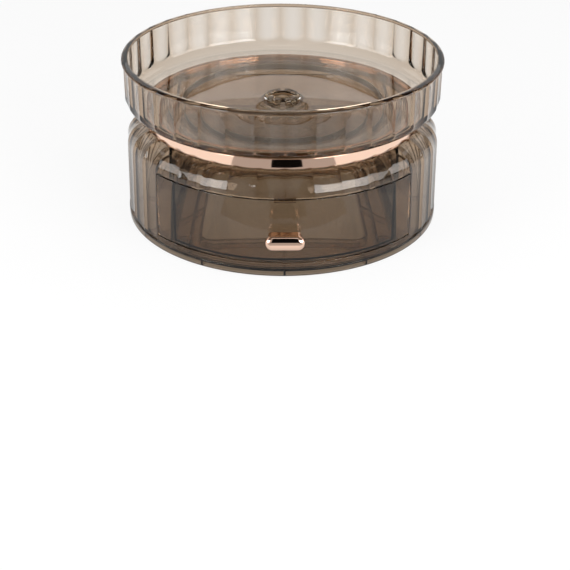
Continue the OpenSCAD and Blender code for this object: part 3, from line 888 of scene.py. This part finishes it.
class ORGANIZER_OT_pivot_clip(PieceOperator):
    """Makes the snap pivot: flange, staked spigot and four hooked prongs."""

    bl_idname = "organizer.pivot_clip"
    bl_label = "Pivot clip"

    def make(self, s, m, f):
        e, z_hook, z_post = s.edge, m.z_tray_floor + s.slide_gap, m.z_flange + s.flange_t
        low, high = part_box("pivot_clip")[0].z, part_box("pivot_clip")[1].z
        stake_r, core = s.spigot_r + s.stake_reach, s.post_r - s.prong_t
        rows = [(s.pivot_hole_r, low)] + corner(OUT_LOW, stake_r, low, e)
        rows += [(stake_r, low + s.stake_t), (s.spigot_r, low + s.stake_t), (s.spigot_r, m.z_flange)]
        rows += [(s.flange_r, m.z_flange)] + corner(OUT_TOP, s.flange_r, z_post, e)
        rows += [(s.post_r, z_post), (s.post_r, z_hook), (s.post_r + s.hook_reach, z_hook)]
        rows += corner(OUT_TOP, s.post_r + s.hook_reach / 4, high, e) + corner(IN_TOP, core, high, e)
        rows += [(core, z_post), (s.pivot_hole_r, z_post)]
        clip = turned("pivot_clip_moulding", rows, around(192))
        x, y, top = 2 * s.flange_r, s.slot_w / 2, high + PAST
        slots = [block("slot", (-x, -y, z_post), (x, y, top)), block("slot", (-y, -x, z_post), (y, x, top))]
        shaped(clip, slots, "DIFFERENCE")
        finish(clip, "base", "pivot_clip", clear_plastic(s, f))


class ORGANIZER_OT_tray(PieceOperator):
    """Makes the turning tray with its flutes, cove, lip and collar."""

    bl_idname = "organizer.tray"
    bl_label = "Tray"

    def make(self, s, m, f):
        e, run_out = s.edge, 0.0005
        angles = column_angles(s)
        outside = fluted_radius(s, m, angles, s.tray_flute)
        inside = m.valley_r - s.wall
        bore, collar = s.post_r + PIVOT_GAP, s.post_r + s.collar_t
        z_collar = m.z_flange + s.flange_t + s.slide_gap
        z_lip = m.z_rim - s.lip_h
        lip_in = m.rim_r - s.lip_w

        rows = corner(IN_LOW, bore, z_collar, e) + corner(OUT_LOW, collar, z_collar, e)
        rows += arc_rows(collar + e, m.z_tray - e, e, 180, 90)
        r = s.tray_fillet
        # The flutes run out into the plain round of the bottom edge
        bottom = corner(OUT_LOW, m.crest_r + run_out, m.z_tray, r, 28)
        rows += [(soft_low(outside, radius, 0.0003), z) for radius, z in bottom]
        rows += arc_rows(outside + e, z_lip - e, e, 180, 90)
        rows += corner(OUT_LOW, m.rim_r, z_lip, 2 * e, 6)
        # The lip's top falls outwards in a quarter of an ellipse
        for t in quarter(12):
            rows.append((m.rim_r - s.lip_fall_w * (1 - math.cos(t)), m.z_rim - s.lip_fall * (1 - math.sin(t))))
        rows += corner(IN_TOP, lip_in, m.z_rim, 2 * e, 6)
        rows += [(lip_in, m.z_rim - s.lip_roof), (inside, m.z_rim - s.lip_roof)]
        r = s.tray_fillet - s.wall
        rows += arc_rows(inside - r, m.z_tray_floor + r, r, 0, -90, 20)
        rows += corner(IN_TOP, bore, m.z_tray_floor, e)
        tray = turned("tray_moulding", rows, angles)
        finish(tray, "tray", "tray_bowl", smoke_plastic(s, f))


class ORGANIZER_OT_stage(bpy.types.Operator):
    """Makes the pale floor, the world, the soft boxes, the room and the camera."""

    bl_idname = "organizer.stage"
    bl_label = "Stage and camera"

    def seen(self, tree):
        """1 for rays that look at the background straight, in a mirror or through plastic."""
        path = tree.node("ShaderNodeLightPath")
        total = path[0] + path[3] + path[6]
        total.socket.node.use_clamp = True
        return total

    def floor(self, st, f, footprint):
        half = 8.0
        corners = [(-half, -half, 0), (half, -half, 0), (half, half, 0), (-half, half, 0)]
        floor = new_piece("floor", corners, [[0, 1, 2, 3]])
        material = material_of("pale_floor", lambda tree: self.floor_shader(tree, st, f, footprint))
        floor.data.materials.append(material)

    def floor_shader(self, tree, st, f, footprint):
        """White to a camera; with a painted shadow under the foot, and painted shade that dims the floor beside it in
        mirrors and through plastic.
        """
        matt = tree.node("ShaderNodeBsdfDiffuse", {}, {"Color": st.floor_colour})[0]
        place = tree.node("ShaderNodeTexCoord")[3]
        reach = tree.node("ShaderNodeVectorMath", {"operation": "LENGTH"}, {0: place})[1]
        camera_ray = tree.node("ShaderNodeLightPath")[0]
        soft_edge = 0.006
        # Painted shadow: under the foot the floor takes the dark colour that stands in for the organizer's shadow
        shaded = between(tree, reach, footprint - soft_edge, footprint)
        # Painted shade and painted reflection: beside the foot the floor is dimmer in mirrors and through plastic,
        # rising to white over the near reach
        near = between(tree, reach, footprint, footprint + st.near_reach)
        level = near * (1 - st.near_shade_level) + st.near_shade_level
        level = level + (1 - level) * camera_ray
        bright = tree.node("ShaderNodeCombineColor", {}, {0: level, 1: level, 2: level})[0]
        colour = tree.node("ShaderNodeMix", {"data_type": "RGBA"}, {0: shaded, 6: f.under, 7: bright})[2]
        glow = tree.node("ShaderNodeEmission", {}, {"Color": colour, "Strength": 1.0})[0]
        share = self.seen(tree) * st.floor_glow
        tree.show(Surface=tree.node("ShaderNodeMixShader", {}, {0: share, 1: matt, 2: glow})[0])

    def world(self, st):
        world = bpy.data.worlds.new("studio")
        bpy.context.scene.world = world
        tree = Shader(world)
        seen = self.seen(tree)
        strength = seen * (1 - st.fill) + st.fill
        tree.show(Surface=tree.node("ShaderNodeBackground", {}, {"Color": (1, 1, 1), "Strength": strength})[0])

    def soft_box(self, name, azimuth, elevation, size, brightness):
        """A soft box that faces the organizer; azimuth 0 is in front, and brightness 1 is white."""
        a, b = math.radians(azimuth), math.radians(elevation)
        aim, distance = Vector((0, 0, 0.06)), 1.1
        out = Vector((math.sin(a) * math.cos(b), -math.cos(a) * math.cos(b), math.sin(b)))
        lamp = bpy.data.lights.new(name, "AREA")
        lamp.shape, lamp.size, lamp.size_y = "RECTANGLE", size[0], size[1]
        lamp.energy = brightness * math.pi * size[0] * size[1]
        holder = bpy.data.objects.new(name, lamp)
        holder.location = aim + out * distance
        holder.rotation_euler = (-out).to_track_quat("-Z", "Y").to_euler()
        holder.visible_camera = False
        bpy.context.scene.collection.objects.link(holder)

    def card(self, name, points, faces, level, through=None):
        """A screen that only shows in mirrors, with one level, and through plastic, with another; 1 is white."""
        card = new_piece(name, points, faces)

        def build(tree):
            strength = level
            if through is not None:
                strength = tree.node("ShaderNodeLightPath")[6] * (through - level) + level
            tree.show(Surface=tree.node("ShaderNodeEmission", {}, {"Color": (1, 1, 1), "Strength": strength})[0])

        card.data.materials.append(material_of(name, build))
        card.visible_camera = card.visible_shadow = card.visible_diffuse = False

    def dome(self, name, radius, across, up, *levels):
        """A card on a dome: across are its azimuths, and up(azimuth) its elevations."""
        points = []
        for a in across:
            for b in up(a):
                flat = radius * math.cos(b)
                points.append((flat * math.cos(a), flat * math.sin(a), radius * math.sin(b)))
        n = len(points) // len(across)
        starts = [n * i + j for i in range(len(across) - 1) for j in range(n - 1)]
        self.card(name, points, [[k, k + n, k + n + 1, k + 1] for k in starts], *levels)

    def backdrop(self, st):
        """The unlit walls of the room, and the white backdrop behind the organizer with its shaded foot."""
        low = math.radians(1)

        def wall(a):
            behind = abs(math.remainder(a + FRONT, 2 * math.pi)) < st.backdrop_half
            return np.linspace(st.backdrop_top if behind else low, st.room_top, 13)

        self.dome("walls", DOME_R, np.linspace(0, 2 * math.pi, 73), wall, st.wall_level)
        across = -FRONT + np.linspace(-st.backdrop_half, st.backdrop_half, 25)
        self.dome("backdrop_foot", DOME_R, across, lambda a: np.linspace(low, st.shade_top, 13), st.shade_level)

    def front_room(self, st):
        """The dim room in front, with a dark middle: a screen that reaches overhead, and the floor before it."""
        screens = (
            ("dim_room", 1.6, 0.0006, st.dim_edge, 0, st.room_half, st.floor_half, st.room_level),
            ("dark_room", 1.5, 0.0009, st.dark_edge, st.dark_turn, st.dark_half, st.dark_half, st.dark_level),
        )
        for name, radius, lift, edge, middle, half, floor_half, level in screens:
            across = FRONT + middle + np.linspace(-half, half, 25)
            self.dome(name, radius, across, lambda a: np.linspace(0, st.room_top, 25), level, st.room_level)
            near, far = [], []
            for a in middle + np.linspace(-floor_half, floor_half, 13):
                near.append((edge * math.tan(a), -edge, lift))
                far.append((radius * math.sin(a), -radius * math.cos(a), lift))
            faces = [[i, i + 13, i + 14, i + 1] for i in range(12)]
            self.card(name + "_floor", near + far, faces, level, st.room_level)

    def camera(self, st):
        data = bpy.data.cameras.new("camera")
        data.lens, data.sensor_width = st.lens, 36.0
        camera = bpy.data.objects.new("camera", data)
        camera.location = (-0.01601, -0.91715, 0.45301)
        aim = Vector((0.00292, -0.00005, -0.07955)) - camera.location
        roll = Matrix.Rotation(math.radians(0.4), 4, "Z")
        camera.rotation_euler = (aim.to_track_quat("-Z", "Y").to_matrix().to_4x4() @ roll).to_euler()
        bpy.context.scene.collection.objects.link(camera)
        bpy.context.scene.camera = camera

    def execute(self, context):
        st = context.scene.organizer_stage
        self.floor(st, context.scene.organizer_finish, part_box("foot_plate")[1].x)
        self.world(st)
        self.soft_box("key_left", -50, 19, (0.45, 0.62), st.key)
        self.soft_box("key_right", 42, 19, (0.72, 0.62), st.key)
        self.soft_box("side_left", -82, 17, (0.65, 0.5), st.key / 2)
        self.soft_box("side_right", 82, 17, (0.65, 0.5), st.key / 2)
        self.backdrop(st)
        self.front_room(st)
        self.camera(st)
        cycles = context.scene.cycles
        cycles.max_bounces = cycles.transmission_bounces = 40
        cycles.glossy_bounces = 12
        context.scene.view_settings.view_transform = "Standard"
        return {"FINISHED"}


class ORGANIZER_PT_panel(bpy.types.Panel):
    """Buttons that make the pieces."""

    bl_idname = "ORGANIZER_PT_panel"
    bl_label = "Makeup organizer"
    bl_space_type = "VIEW_3D"
    bl_region_type = "UI"
    bl_category = "Organizer"

    def draw(self, context):
        for operator in OPERATORS:
            self.layout.operator(operator.bl_idname)
        for group in ("organizer_finish", "organizer_stage", "organizer_sizes"):
            box = self.layout.box()
            settings = getattr(context.scene, group)
            for name in type(settings).__annotations__:
                box.prop(settings, name)


OPERATORS = (*PieceOperator.__subclasses__(), ORGANIZER_OT_stage)
GROUPS = {"organizer_sizes": OrganizerSizes, "organizer_finish": OrganizerFinish, "organizer_stage": OrganizerStage}


def register():
    for name, group in GROUPS.items():
        bpy.utils.register_class(group)
        setattr(bpy.types.Scene, name, PointerProperty(type=group))
    for item in OPERATORS + (ORGANIZER_PT_panel,):
        bpy.utils.register_class(item)


def unregister():
    for item in (ORGANIZER_PT_panel,) + OPERATORS[::-1]:
        bpy.utils.unregister_class(item)
    for name, group in GROUPS.items():
        delattr(bpy.types.Scene, name)
        bpy.utils.unregister_class(group)


def main():
    register()
    for operator in OPERATORS:
        group, action = operator.bl_idname.split(".")
        getattr(getattr(bpy.ops, group), action)()


if __name__ == "__main__":
    main()
